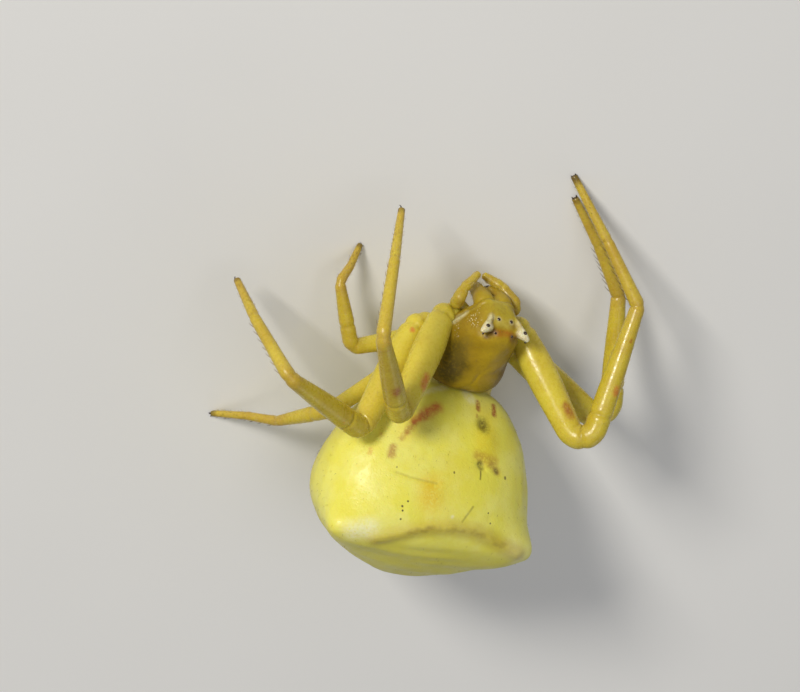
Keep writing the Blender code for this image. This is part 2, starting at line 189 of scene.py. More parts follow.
# Hollows of the head, on both sides: middle, radius and depth.
HOLLOWS = [
    ((0.52, -1.06, 1.08), 0.17, 0.075),
    ((0.64, -1.36, 0.62), 0.17, 0.050),
    ((0.00, -1.32, 1.10), 0.22, 0.035),
    ((0.00, -1.45, -0.30), 0.10, 0.050),
    ((0.00, -1.35, -0.60), 0.10, 0.040),
]

# How finely a skin is divided: rings along it and points around it. The head and chest
# are then fused by voxels of that size and smoothed that many times.
ABDOMEN_GRID = (210, 260)
CHEST_GRID = (110, 150)
CHEST_VOXEL = 0.028
CHEST_SMOOTHING = 12

# Hairs: how many, length, radius, lean from the skin's normal and curl, in radians.
LEG_HAIR = (380, 0.11, 0.0040, 0.95, 0.4)
FOOT_HAIR = (70, 0.09, 0.005, 0.85, 0.3)
PALP_HAIR = (110, 0.07, 0.0038, 1.25, 0.15)
PALP_TIP_HAIR = (210, 0.10, 0.0042, 1.38, 0.08)
JAW_HAIR = (60, 0.12, 0.005, 1.0, 0.3)
ABDOMEN_HAIR = (520, 0.09, 0.0040, 1.0, 0.5)
CHEST_HAIR = (90, 0.08, 0.0040, 1.0, 0.5)
HAIR_STEPS = 4
LOWEST_HAIR = 0.01
# Spines from the shin's end to the foot's bend: how many pairs, where the first is and
# the gap, both as shares of that stretch, and the length. A front leg with a dark tip has
# the long ones. The shape is a spine's radius, lean and curl.
FRONT_SPINES = (7, 0.12, 0.13, 0.28)
REAR_SPINES = (3, 0.2, 0.3, 0.18)
LONG_SPINE = 0.34
SPINE_SHAPE = (0.012, 1.25, 0.08)
# The share of the width of a coat's UV map that a leg and a part of the head take up,
# how far apart the legs' bands start, and the size of one hair's patch.
LEG_BAND = 0.11
LEG_BAND_STEP = 0.12
HEAD_BAND = 0.24
UV_PATCH = 0.003

# Spinnerets: sideways, up, radius and reach, from the middle of their base. Then that
# middle, the middle of their tips, the places along a spinneret and its taper there.
SPINNERETS = [
    (0.13, -0.06, 0.13, 0.86), (-0.13, -0.06, 0.13, 0.86),
    (0.10, 0.12, 0.10, 0.70), (-0.10, 0.12, 0.10, 0.70),
    (0.0, 0.22, 0.14, 0.45),
]
SPINNERET_ROOT = Vector((0.0, 2.20, -0.85))
SPINNERET_TIP = Vector((0.0, 2.85, -1.72))
SPINNERET_PLACES = (0.0, 0.35, 0.7, 0.92, 1.0)
SPINNERET_TAPER = (1.25, 1.15, 1.0, 0.72)
# A claw: how far its points lie ahead, down and sideways, and its radii.
CLAW = [(-0.03, 0.0, 0.0), (0.07, 0.0, 0.02), (0.13, 0.03, 0.03), (0.15, 0.09, 0.03)]
CLAW_RADII = (0.028, 0.024, 0.014)
CLAW_SPREAD = 0.045
LOWEST_CLAW = 0.030

# Degrees from one point of an arc to the next.
ARC_STEP = 4
# A mark shorter than the shortest is a round dot. A mark up to the small radius has
# crisp edges, and a larger one has wavy edges.
SHORTEST_MARK = 1e-6
SMALL_MARK = 0.05

LEMON = (0.75, 0.695, 0.082)
LEMON_PALE = (0.775, 0.735, 0.160)
CREAM = (0.86, 0.83, 0.52)
AMBER = (0.30, 0.19, 0.007)
AMBER_PALE = (0.44, 0.295, 0.010)
HONEY = (0.60, 0.49, 0.042)
HONEY_DEEP = (0.50, 0.37, 0.024)
OLIVE = (0.085, 0.062, 0.010)
RUST = (0.56, 0.15, 0.035)
RED_BROWN = (0.32, 0.06, 0.02)
DARK_BROWN = (0.055, 0.03, 0.012)
CHALK = (0.80, 0.76, 0.55)
DULL_CHALK = (0.60, 0.50, 0.22)
EYE_BLACK = (0.010, 0.005, 0.002)
EYE_BROWN = (0.055, 0.022, 0.006)
FLOOR_GREY = (0.83, 0.82, 0.80)
FLOOR_PALE = (0.86, 0.85, 0.83)
WORLD = (0.94, 0.96, 1.0)
WORLD_STRENGTH = 0.22
# Lights: the direction to it, its distance and size in metres, its power and colour.
LIGHTS = {
    "key": ((0.80, -0.62, 0.52), 0.30, 0.06, 0.68, (1.0, 0.97, 0.90)),
    "top": ((0.1, -0.4, 1.0), 0.35, 0.25, 0.24, (1.0, 1.0, 1.0)),
    "rim": ((-0.8, 0.6, 0.5), 0.35, 0.15, 0.06, (1.0, 1.0, 1.0)),
}
LIT_PLACE = Vector((0, 0, 0.0025))

# Marks on the abdomen in its own axes: start, end, radius, edge, colour and strength.
# The small dots reach through the skin, so that each one shows on it.
ABDOMEN_MARKS = [
    ((0.00, -0.85, 2.02), (0.40, 0.45, 2.35), 0.50, 0.9, (0.70, 0.58, 0.05), 0.35),
    ((0.80, -2.45, 1.10), (1.60, -1.65, 1.38), 0.30, 0.9, (0.76, 0.58, 0.06), 0.40),
    ((-1.12, -1.98, 1.36), (-1.15, -1.55, 1.57), 0.46, 0.6, (0.72, 0.60, 0.035), 0.9),
    ((-0.88, -2.62, 0.98), (-1.30, -2.55, 0.92), 0.30, 0.8, (0.72, 0.60, 0.06), 0.6),
    ((-0.80, -1.34, 1.74), (-1.45, -1.20, 1.64), 0.15, 0.9, (0.42, 0.20, 0.03), 0.55),
    ((-1.30, -1.10, 1.73), (-1.62, -0.92, 1.76), 0.12, 0.9, (0.30, 0.13, 0.03), 0.55),
    ((0.75, -0.24, 2.19), (0.72, 0.10, 2.26), 0.34, 1.0, (0.72, 0.50, 0.02), 0.80),
    ((0.62, -2.52, 1.07), (1.06, -2.26, 1.17), 0.165, 0.9, RUST, 0.72),
    ((0.66, -2.55, 1.05), (0.96, -2.38, 1.13), 0.075, 0.7, (0.60, 0.12, 0.03), 0.65),
    ((1.06, -2.24, 1.18), (1.36, -2.05, 1.24), 0.125, 0.9, RUST, 0.66),
    ((1.18, -2.10, 1.23), (1.40, -1.98, 1.27), 0.050, 0.9, (0.60, 0.12, 0.03), 0.55),
    ((1.40, -1.96, 1.28), (1.56, -1.73, 1.37), 0.110, 0.9, RED_BROWN, 0.55),
    ((1.60, -1.66, 1.39), (1.75, -1.45, 1.44), 0.080, 0.9, RED_BROWN, 0.50),
    ((2.00, -1.14, 1.52), (2.03, -0.94, 1.58), 0.125, 0.7, RED_BROWN, 0.62),
    ((2.60, -0.94, 1.26), (2.63, -0.80, 1.30), 0.060, 0.9, RUST, 0.45),
    ((2.35, -1.43, 1.17), (2.36, -1.36, 1.19), 0.055, 0.9, RUST, 0.30),
    ((-0.84, -2.82, 0.78), (-0.83, -2.64, 0.95), 0.080, 0.7, RED_BROWN, 0.85),
    ((-1.50, -2.74, 0.64), (-1.47, -2.54, 0.86), 0.090, 0.7, RED_BROWN, 0.92),
    ((-0.78, -2.48, 1.08), (-0.78, -2.43, 1.12), 0.040, 0.8, RED_BROWN, 0.45),
    ((-0.98, -2.24, 1.20), (-1.02, -2.18, 1.24), 0.190, 1.0, OLIVE, 0.90),
    ((-0.95, -1.10, 1.82), (-0.99, -1.02, 1.86), 0.105, 0.6, DARK_BROWN, 0.90),
    ((-0.97, -0.95, 1.90), (-0.96, -0.66, 2.00), 0.030, 0.8, DARK_BROWN, 0.70),
    ((-1.54, -0.97, 1.76), (-1.60, -0.90, 1.77), 0.065, 0.8, DARK_BROWN, 0.65),
    ((-1.95, -0.77, 1.71), (-1.96, -0.74, 1.72), 0.040, 0.6, DARK_BROWN, 0.80),
    ((-0.01, -0.77, 2.03), (-0.01, -0.75, 2.04), 0.030, 0.6, DARK_BROWN, 0.75),
    ((1.41, 0.31, 2.12), (1.41, 0.31, 2.32), 0.030, 0.5, DARK_BROWN, 0.95),
    ((1.56, 0.49, 2.23), (1.55, 0.50, 2.23), 0.034, 0.5, DARK_BROWN, 0.95),
    ((1.53, 0.62, 2.16), (1.53, 0.62, 2.36), 0.030, 0.5, DARK_BROWN, 0.95),
    ((1.54, 0.89, 2.18), (1.54, 0.89, 2.38), 0.030, 0.5, DARK_BROWN, 0.90),
    ((1.85, -0.62, 1.81), (1.85, -0.61, 1.81), 0.022, 0.6, DARK_BROWN, 0.70),
    ((-1.41, 0.32, 2.12), (-1.41, 0.32, 2.32), 0.028, 0.5, DARK_BROWN, 0.80),
    ((-1.55, 0.63, 2.14), (-1.55, 0.63, 2.34), 0.028, 0.5, DARK_BROWN, 0.80),
    ((-0.80, 0.18, 2.30), (-0.49, 0.68, 2.42), 0.035, 0.9, DARK_BROWN, 0.45),
    ((-0.13, 0.55, 2.42), (-0.12, 0.57, 2.42), 0.050, 0.8, CREAM, 0.60),
    ((2.45, 1.38, 2.10), (2.85, 1.55, 2.00), 0.30, 0.9, CREAM, 0.75),
    ((-2.60, 1.35, 2.10), (-3.05, 1.60, 1.92), 0.30, 0.9, CREAM, 0.35),
    # Painted sheen: whitish highlights along the front rim, at the right shoulder and on the
    # left.
    ((-0.45, -3.00, 0.55), (-0.60, -2.88, 0.75), 0.16, 0.9, CREAM, 0.70),
    ((0.30, -3.06, 0.55), (1.10, -2.80, 0.70), 0.10, 0.9, CREAM, 0.55),
]
# The brown line of the ridge between the two rear corners, with a wider band of painted shade
# along it.
RIDGE = [
    (2.10, 1.66, 2.08), (1.67, 1.46, 2.18), (1.13, 1.22, 2.32), (0.60, 1.03, 2.41),
    (-0.18, 0.90, 2.43), (-0.96, 0.92, 2.38), (-1.59, 1.08, 2.28), (-2.17, 1.29, 2.19),
    (-2.84, 1.52, 2.03),
]
# The fold across the back, from the left side to the ochre patch. Painted shade darkens its
# crease.
FOLD = [(1.85, -0.47, 1.87), (1.43, -0.41, 2.01), (0.95, -0.38, 2.11), (0.55, -0.36, 2.16)]
# Pits of the abdomen: middle, radius and depth.
PITS = [
    ((-0.98, -2.22, 1.22), 0.17, 0.05), ((0.98, -2.22, 1.20), 0.12, 0.02),
    ((-0.97, -1.06, 1.84), 0.15, 0.10), ((0.97, -1.06, 1.88), 0.10, 0.03),
    ((0.0, -2.75, 1.05), 0.08, 0.02), ((-1.57, -0.94, 1.76), 0.08, 0.04),
    ((-1.48, 0.50, 2.24), 0.10, 0.03), ((1.52, 0.52, 2.24), 0.10, 0.02),
]
# The middle of the low bulge behind the right front pit.
SHOULDER = Vector((-1.13, -1.78, 1.47))

# Marks on the carapace in the chest's own axes.
CHEST_MARKS = [
    ((0.05, -0.95, 1.26), (-0.05, 1.20, 1.02), 0.40, 0.9, AMBER_PALE, 0.75),
    ((-0.10, -1.55, 0.45), (0.10, -1.59, 0.08), 0.50, 0.9, (0.46, 0.37, 0.022), 0.80),
    ((0.24, -1.60, 0.06), (-0.16, -1.60, 0.04), 0.10, 0.9, (0.52, 0.44, 0.08), 0.55),
    ((0.31, -1.45, -0.75), (0.28, -1.30, -1.20), 0.30, 0.9, (0.36, 0.23, 0.010), 0.70),
    ((0.00, -1.45, -0.55), (0.00, -1.30, -1.10), 0.12, 0.8, (0.16, 0.05, 0.012), 0.75),
    ((0.61, -1.32, 0.06), (0.86, -0.98, 0.02), 0.06, 0.9, (0.50, 0.41, 0.08), 0.30),
    ((0.92, 0.10, 0.66), (0.85, 1.30, 0.64), 0.34, 0.6, OLIVE, 0.88),
    ((0.66, 0.40, 0.93), (0.70, 1.00, 0.86), 0.24, 0.8, OLIVE, 0.80),
    ((0.80, -0.35, 0.80), (0.80, 0.20, 0.82), 0.22, 0.9, (0.20, 0.14, 0.02), 0.65),
    ((-0.92, -0.10, 0.66), (-0.85, 1.30, 0.60), 0.26, 0.9, OLIVE, 0.65),
    # Painted shade along the right rear side, which is turned away from the light.
    ((-1.22, 0.10, 0.30), (-1.15, 1.35, 0.20), 0.42, 0.9, (0.13, 0.055, 0.010), 0.80),
    # Painted shade: a dark line along the rear edge, where the front of the abdomen overhangs
    # it.
    ((-0.75, 1.40, 0.62), (0.95, 1.42, 0.60), 0.16, 0.9, (0.22, 0.12, 0.014), 0.60),
    # Painted shade in the hollow behind the left eye mound.
    ((0.34, -1.20, 1.12), (0.54, -0.98, 1.12), 0.10, 0.9, (0.075, 0.026, 0.007), 0.92),
    ((0.20, -1.20, 1.16), (-0.22, -1.25, 1.14), 0.10, 0.9, (0.36, 0.11, 0.010), 0.75),
    # Painted shade in the hollow behind the right eye mound.
    ((-0.30, -1.12, 1.16), (-0.56, -1.12, 1.12), 0.12, 0.9, (0.18, 0.065, 0.012), 0.75),
    ((-0.24, -1.42, 0.92), (-0.34, -1.40, 0.86), 0.10, 0.9, (0.28, 0.17, 0.03), 0.70),
    ((1.12, -0.55, 0.02), (0.88, -0.88, -0.02), 0.10, 0.8, CREAM, 0.65),
    ((0.64, -1.40, 1.02), (0.51, -1.50, 0.78), 0.120, 1.0, CREAM, 0.62),
    ((-0.64, -1.40, 1.02), (-0.51, -1.50, 0.78), 0.120, 1.0, CREAM, 0.45),
    ((0.22, -1.46, 0.95), (-0.10, -1.46, 0.95), 0.13, 0.9, (0.54, 0.45, 0.10), 0.50),
]
# Patches of the head that are strewn with shining grains, where pale dots are painted as their
# glints.
SPARKLES = [
    ((0.80, -1.02, 0.40), (0.75, -1.05, 0.58), 0.15),
    ((1.08, -0.55, 0.20), (1.04, -0.36, 0.44), 0.09),
    ((0.62, -1.30, 0.20), (0.66, -1.22, 0.30), 0.06),
]

# Red and brown marks on the legs: start, end, radius, edge, colour and strength.
LEG_MARKS = {
    "left_1": [
        ((2.35, 0.12, 4.16), (2.45, 0.28, 4.36), 0.16, 0.7, RUST, 0.85),
        ((4.05, -0.44, 5.90), (4.16, -0.56, 5.88), 0.14, 0.8, RED_BROWN, 0.75),
    ],
    "left_2": [((2.37, -0.30, 2.10), (2.42, 0.05, 2.10), 0.07, 0.8, RUST, 0.80)],
    "left_3": [],
    "left_4": [((4.4, 3.4, 2.9), (4.5, 3.5, 2.9), 0.10, 0.8, RED_BROWN, 0.4)],
    "right_1": [
        ((-2.55, 0.40, 4.30), (-2.66, 0.60, 4.46), 0.15, 0.8, RED_BROWN, 0.80),
        ((-3.79, -0.54, 4.56), (-3.82, -0.64, 4.50), 0.11, 0.8, RUST, 0.75),
        ((-4.01, -1.93, 3.68), (-4.02, -1.97, 3.66), 0.05, 0.8, RED_BROWN, 0.60),
    ],
    "right_2": [((-4.1, 1.8, 3.1), (-4.3, 1.9, 3.2), 0.12, 0.8, RED_BROWN, 0.5)],
    "right_3": [],
    "right_4": [],
}


def eased(table, place):
    """A smooth curve through a short table of (place, value) pairs."""
    places = [row[0] for row in table]
    values = [row[1] for row in table]
    if place <= places[0]:
        return values[0]
    if place >= places[-1]:
        return values[-1]
    last = max(i for i in range(len(places) - 1) if places[i] <= place)
    slopes = []
    for i in (last, last + 1):
        low = max(i - 1, 0)
        high = min(i + 1, len(places) - 1)
        slopes.append((values[high] - values[low]) / (places[high] - places[low]))
    width = places[last + 1] - places[last]
    t = (place - places[last]) / width
    start = values[last] * (2 * t**3 - 3 * t**2 + 1)
    start_slope = slopes[0] * width * (t**3 - 2 * t**2 + t)
    end = values[last + 1] * (3 * t**2 - 2 * t**3)
    end_slope = slopes[1] * width * (t**3 - t**2)
    return start + start_slope + end + end_slope


def bump(value, width):
    """A smooth hill, 1 at 0 and almost nothing past twice the width."""
    return math.exp(-((value / width) ** 2))


def signed_power(value, power):
    return math.copysign(abs(value) ** power, value)


def corner_push(form, place, turn):
    """How far the blunt rear corners push a point out: sideways, back and up."""
    push = Vector((0.0, 0.0, 0.0))
    sideways, back, up = CORNER_REACH
    for corner_turn, side in form["corners"]:
        along = (place - CORNER_PLACE) / CORNER_LENGTH
        away = math.remainder(turn - math.radians(corner_turn), TURN) / CORNER_SPREAD
        lift = CORNER_LIFT * math.exp(-(along * along + away * away))
        push += Vector((sideways * side, back, up)) * lift
    return push


def form_point(form, place, turn):
    """A point of a body form in its own axes."""
    rounding = form["round_front"] if place < 0 else form["round_rear"]
    shrink = math.sqrt(max(0.0, 1 - place * place)) ** rounding
    side = signed_power(math.cos(turn), form["square"])
    rise = signed_power(math.sin(turn), form["square"])
    height = eased(form["top"] if rise > 0 else form["bottom"], place)
    narrowed = 1 - eased(form["lean"], place) * max(0.0, rise)
    left = side * eased(form["width"], place) * shrink * narrowed
    back = place * form["length"] / 2
    up = rise * height * shrink
    return Vector((left, back, up)) + corner_push(form, place, turn)


def form_axes(middle, pitch, yaw):
    """Turns a form's own axes into the spider's axes."""
    turned = Matrix.Rotation(math.radians(yaw), 4, "Z")
    tipped = Matrix.Rotation(math.radians(pitch), 4, "X")
    return Matrix.Translation(Vector(middle)) @ turned @ tipped


CHEST_AXES = form_axes(CHEST_MIDDLE, 0.0, CHEST_YAW)
ABDOMEN_AXES = form_axes(ABDOMEN_MIDDLE, ABDOMEN_PITCH, ABDOMEN_YAW)


def on_chest(point, side=1):
    return CHEST_AXES @ Vector((point[0] * side, point[1], point[2]))


def chest_path(points, side=1):
    return [on_chest(point, side) for point in points]


def on_abdomen(point):
    return ABDOMEN_AXES @ Vector(point)


def add_object(name, data):
    thing = bpy.data.objects.new(name, data)
    bpy.context.scene.collection.objects.link(thing)
    return thing


def mesh_of(bm, name):
    """Turns a BMesh into a mesh and frees it."""
    mesh = bpy.data.meshes.new(name)
    bm.to_mesh(mesh)
    bm.free()
    return mesh


def join_rings(bm, rings):
    """Joins rings of vertices, first to last. A ring of one vertex is a pole."""
    for near, far in zip(rings, rings[1:]):
        if len(near) == 1 or len(far) == 1:
            pole, ring = (near[0], far) if len(near) == 1 else (far[0], near)
            for i in range(len(ring)):
                bm.faces.new((pole, ring[i], ring[(i + 1) % len(ring)]))
            continue
        for i in range(len(near)):
            j = (i + 1) % len(near)
            bm.faces.new((near[i], near[j], far[j], far[i]))


def rounded_path(corners, bends):
    """A chain of straights and arcs through corner points.

    Returns its points, the distance of each along it and, for each inner corner,
    the distance at the middle of its bend.
    """
    corners = [Vector(corner) for corner in corners]
    points = [corners[0]]
    spans = []
    for i in range(1, len(corners) - 1):
        before = (corners[i - 1] - corners[i]).normalized()
        after = (corners[i + 1] - corners[i]).normalized()
        half = before.angle(after) / 2
        reach = bends[i - 1] / math.tan(half)
        out = (before + after).normalized() * bends[i - 1] / math.sin(half)
        start = before * reach - out
        end = after * reach - out
        swing = start.angle(end)
        steps = max(2, math.ceil(math.degrees(swing) / ARC_STEP))
        first = len(points)
        for step in range(steps + 1):
            share = step / steps
            mixed = start * math.sin((1 - share) * swing) + end * math.sin(share * swing)
            points.append(corners[i] + out + mixed / math.sin(swing))
        spans.append((first, len(points) - 1))
    points.append(corners[-1])
    distances = [0.0]
    for near, far in zip(points, points[1:]):
        distances.append(distances[-1] + (far - near).length)
    return points, distances, [(distances[a] + distances[b]) / 2 for a, b in spans]


def path_stops(points, distances, step):
    """Even stops along a path: a point, the way ahead, the distance and a side."""
    count = max(2, math.ceil(distances[-1] / step))
    stops = []
    last = 0
    for i in range(count + 1):
        wanted = distances[-1] * i / count
        while last < len(points) - 2 and distances[last + 1] < wanted:
            last += 1
        share = (wanted - distances[last]) / (distances[last + 1] - distances[last])
        point = points[last].lerp(points[last + 1], share)
        ahead = (points[last + 1] - points[last]).normalized()
        stops.append([point, ahead, wanted])
    for i in range(1, count):
        stops[i][1] = (stops[i + 1][0] - stops[i - 1][0]).normalized()
    side = stops[0][1].orthogonal().normalized()
    for stop in stops:
        side = (side - stop[1] * side.dot(stop[1])).normalized()
        stop.append(side.copy())
    return stops


def tube_point(stop, turn, radius):
    """A point on a tube and the direction out of it there."""
    point, ahead, _, side = stop
    spoke = side * math.cos(turn) + ahead.cross(side) * math.sin(turn)
    return point + spoke * radius, spoke


def tube_mesh(stops, radius_at, sides):
    """A closed tube through stops. radius_at gives the radius for a stop and a turn."""
    bm = bmesh.new()
    turns = [TURN * step / sides for step in range(sides)]
    rings = []
    for stop in stops:
        points = [tube_point(stop, turn, radius_at(stop, turn))[0] for turn in turns]
        rings.append([bm.verts.new(point) for point in points])
    first, last = stops[0], stops[-1]
    rings.insert(0, [bm.verts.new(first[0] - first[1] * radius_at(first, 0) * 0.5)])
    rings.append([bm.verts.new(last[0] + last[1] * radius_at(last, 0) * 0.5)])
    join_rings(bm, rings)
    return bm


def finish_piece(name, bm, material, replaced=()):
    """Makes a named piece in metres that rides on the body and replaces CAD nodes."""
    bmesh.ops.recalc_face_normals(bm, faces=bm.faces[:])
    mesh = mesh_of(bm, name)
    mesh.transform(Matrix.Scale(MM, 4) @ Matrix.Translation(-MIDDLE))
    mesh.shade_smooth()
    mesh.materials.append(material)
    piece = add_object(name, mesh)
    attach(piece, "root")
    if replaced:
        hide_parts(*replaced)


# Materials.


class Skin:
    """A material that is painted in layers. All its sizes and places are millimetres."""

    def __init__(self, name, under=0.0, tint=(1, 0.6, 0.2), depth=0.4, coat=0.0, shine=0.5):
        """Under is the share of light that goes under the surface, as far as depth."""
        self.material = bpy.data.materials.new(name)
        self.material.use_nodes = True
        self.tree = self.material.node_tree
        self.shader = self.tree.nodes["Principled BSDF"]
        looks = {"Subsurface Weight": under, "Subsurface Radius": tint}
        looks |= {"Subsurface Scale": depth * MM, "Coat Weight": coat}
        looks |= {"Coat Roughness": 0.12, "Specular IOR Level": shine}
        for key, value in looks.items():
            self.set(key, value)
        self.coords = self.places()
        self.wobbly = self.coords
        self.colour = None
        self.normal = None

    def fill(self, socket, value):
        """Gives a socket a value, or links another socket to it."""
        if isinstance(value, bpy.types.NodeSocket):
            self.tree.links.new(value, socket)
        else:
            socket.default_value = value

    def set(self, name, value):
        self.fill(self.shader.inputs[name], value)

    def node(self, kind, inputs, output=0, **settings):
        """A new node's output. Inputs and outputs go by name or number."""
        node = self.tree.nodes.new("ShaderNode" + kind)
        for key, value in settings.items():
            setattr(node, key, value)
        for key, value in inputs.items():
            self.fill(node.inputs[key], value)
        return node.outputs[output]

    def maths(self, operation, first, second, clamp=False):
        return self.node("Math", {0: first, 1: second}, operation=operation, use_clamp=clamp)

    def times(self, first, second):
        return self.maths("MULTIPLY", first, second)

    def vector(self, operation, first, second, output="Vector"):
        return self.node("VectorMath", {0: first, 1: second}, output, operation=operation)

    def ramp(self, value, low, high, out_low=0.0, out_high=1.0):
        """Smoothly maps low..high to out_low..out_high."""
        inputs = {"Value": value, "From Min": low, "From Max": high}
        inputs |= {"To Min": out_low, "To Max": out_high}
        return self.node("MapRange", inputs, interpolation_type="SMOOTHSTEP")

    def mix(self, share, below, above):
        """Lays a colour over another by a share."""
        both = [c if isinstance(c, bpy.types.NodeSocket) else (*c, 1.0) for c in (below, above)]
        return self.node("Mix", {0: share, 6: both[0], 7: both[1]}, 2, data_type="RGBA")

    def lay(self, share, colour):
        """Lays a colour over what is painted so far."""
        self.colour = self.mix(share, self.colour, colour)

    def places(self, wobble=0.0, wobble_size=0.4):
        """Places in the spider's own millimetres, from object coordinates."""
        place = self.node("TexCoord", {}, "Object")
        inputs = {"Vector": place, "Location": tuple(MIDDLE), "Scale": (1 / MM,) * 3}
        coords = self.node("Mapping", inputs)
        if not wobble:
            return coords
        inputs = {"Vector": coords, "Scale": 1 / wobble_size, "Detail": 3.0}
        shift = self.node("TexNoise", inputs, "Color")
        shift = self.vector("SUBTRACT", shift, (0.5,) * 3)
        shift = self.vector("MULTIPLY", shift, (wobble,) * 3)
        return self.vector("ADD", coords, shift)

    def along(self, axes, axis):
        """The place along one axis of a form."""
        row = axes.inverted()[axis]
        value = self.vector("DOT_PRODUCT", self.coords, tuple(row[:3]), "Value")
        return self.maths("ADD", value, row[3])

    def grain(self, size, detail=3.0, rough=0.55, place=None):
        """Noise from 0 to 1, with features of about that size."""
        place = self.coords if place is None else place
        inputs = {"Vector": place, "Scale": 1 / size, "Detail": detail, "Roughness": rough}
        return self.node("TexNoise", inputs)

    def clouds(self, size, low, high, out_low=0.0, out_high=1.0, detail=3.0, rough=0.55):
        return self.ramp(self.grain(size, detail, rough), low, high, out_low, out_high)

    def cells(self, size, low, high, place=None):
        """Small cells: the ramped distance from the middle of each."""
        place = self.coords if place is None else place
        distance = self.node("TexVoronoi", {"Vector": place, "Scale": 1 / size}, "Distance")
        return self.ramp(distance, low, high)

    def patch(self, place, start, end, radius, edge):
        """1 near the line from start to end and 0 away from it, with a soft edge."""
        start, end = Vector(start), Vector(end)
        span = end - start
        away = self.vector("SUBTRACT", place, tuple(start))
        if span.length > SHORTEST_MARK:
            share = self.vector("DOT_PRODUCT", away, tuple(span / span.length_squared), "Value")
            share = self.maths("ADD", share, 0.0, clamp=True)
            inputs = {0: tuple(span), "Scale": share}
            nearest = self.node("VectorMath", inputs, operation="SCALE")
            away = self.vector("SUBTRACT", away, nearest)
        distance = self.vector("LENGTH", away, (0, 0, 0), "Value")
        return self.ramp(distance, radius * (1 + edge), radius * (1 - edge))

    def line(self, place, points, radius, edge):
        """A chain of patches: 1 near the nearest of its stretches."""
        total = 0.0
        for start, end in zip(points, points[1:]):
            total = self.maths("MAXIMUM", total, self.patch(place, start, end, radius, edge))
        return total

    def lay_marks(self, marks, to_body):
        """Paints marks. The larger ones have wavy edges and are broken up by a mottle."""
        mottle = self.ramp(self.grain(0.09, 4.0, 0.7, self.wobbly), 0.30, 0.56, 0.35, 1.0)
        for start, end, radius, edge, colour, strength in marks:
            large = radius > SMALL_MARK
            place = self.wobbly if large else self.coords
            share = self.patch(place, to_body(start), to_body(end), radius, edge)
            if large:
                share = self.times(share, mottle)
            self.lay(self.times(share, strength), colour)

    def relief(self, height, distance, strength):
        """Adds fine relief. A height of 1 stands for that many millimetres."""
        inputs = {"Height": height, "Strength": strength, "Distance": distance * MM}
        if self.normal is not None:
            inputs["Normal"] = self.normal
        self.normal = self.node("Bump", inputs, "Normal")
        self.set("Normal", self.normal)

    def finish(self):
        self.set("Base Color", self.colour)
        return self.material


def abdomen_material():
    skin = Skin("abdomen_lemon_skin", 0.30, (1, 0.75, 0.2), 0.30, 0.05, 0.40)
    skin.wobbly = skin.places(0.10, 0.22)
    skin.colour = skin.mix(skin.clouds(1.1, 0.36, 0.66, detail=4.0), LEMON, LEMON_PALE)
    skin.lay(skin.clouds(0.16, 0.50, 0.72, 0.0, 0.22, 4.0), (0.68, 0.58, 0.06))
    # Painted shade: the skin is darker towards the underside and towards the rear.
    skin.lay(skin.ramp(skin.along(ABDOMEN_AXES, 2), 0.8, -1.4, 0.0, 0.65), (0.52, 0.44, 0.07))
    skin.lay(skin.ramp(skin.along(ABDOMEN_AXES, 1), 1.2, 2.2, 0.0, 0.45), (0.58, 0.50, 0.07))
    skin.lay_marks(ABDOMEN_MARKS, on_abdomen)
    ridge = [on_abdomen(point) for point in RIDGE]
    # Painted shade: a wide, darker band along the ridge. The fine line on it is the ridge's own
    # brown line.
    ridge_shade = skin.line(skin.wobbly, ridge, 0.24, 0.95)
    skin.lay(skin.times(ridge_shade, 0.55), (0.42, 0.28, 0.03))
    fine_line = skin.line(skin.wobbly, ridge, 0.085, 0.95)
    skin.lay(skin.times(fine_line, 0.85), (0.11, 0.045, 0.018))
    # Painted shade in the crease of the fold.
    fold = skin.line(skin.coords, [on_abdomen(point) for point in FOLD], 0.035, 0.9)
    skin.lay(skin.times(fold, 0.55), (0.42, 0.34, 0.05))
    skin.set("Roughness", skin.clouds(0.35, 0.3, 0.7, 0.34, 0.50))
    skin.relief(skin.grain(0.12, 5.0, 0.6, skin.wobbly), 0.028, 0.42)
    skin.relief(skin.cells(0.085, 0.0, 0.45), 0.008, 0.5)
    return skin.finish()


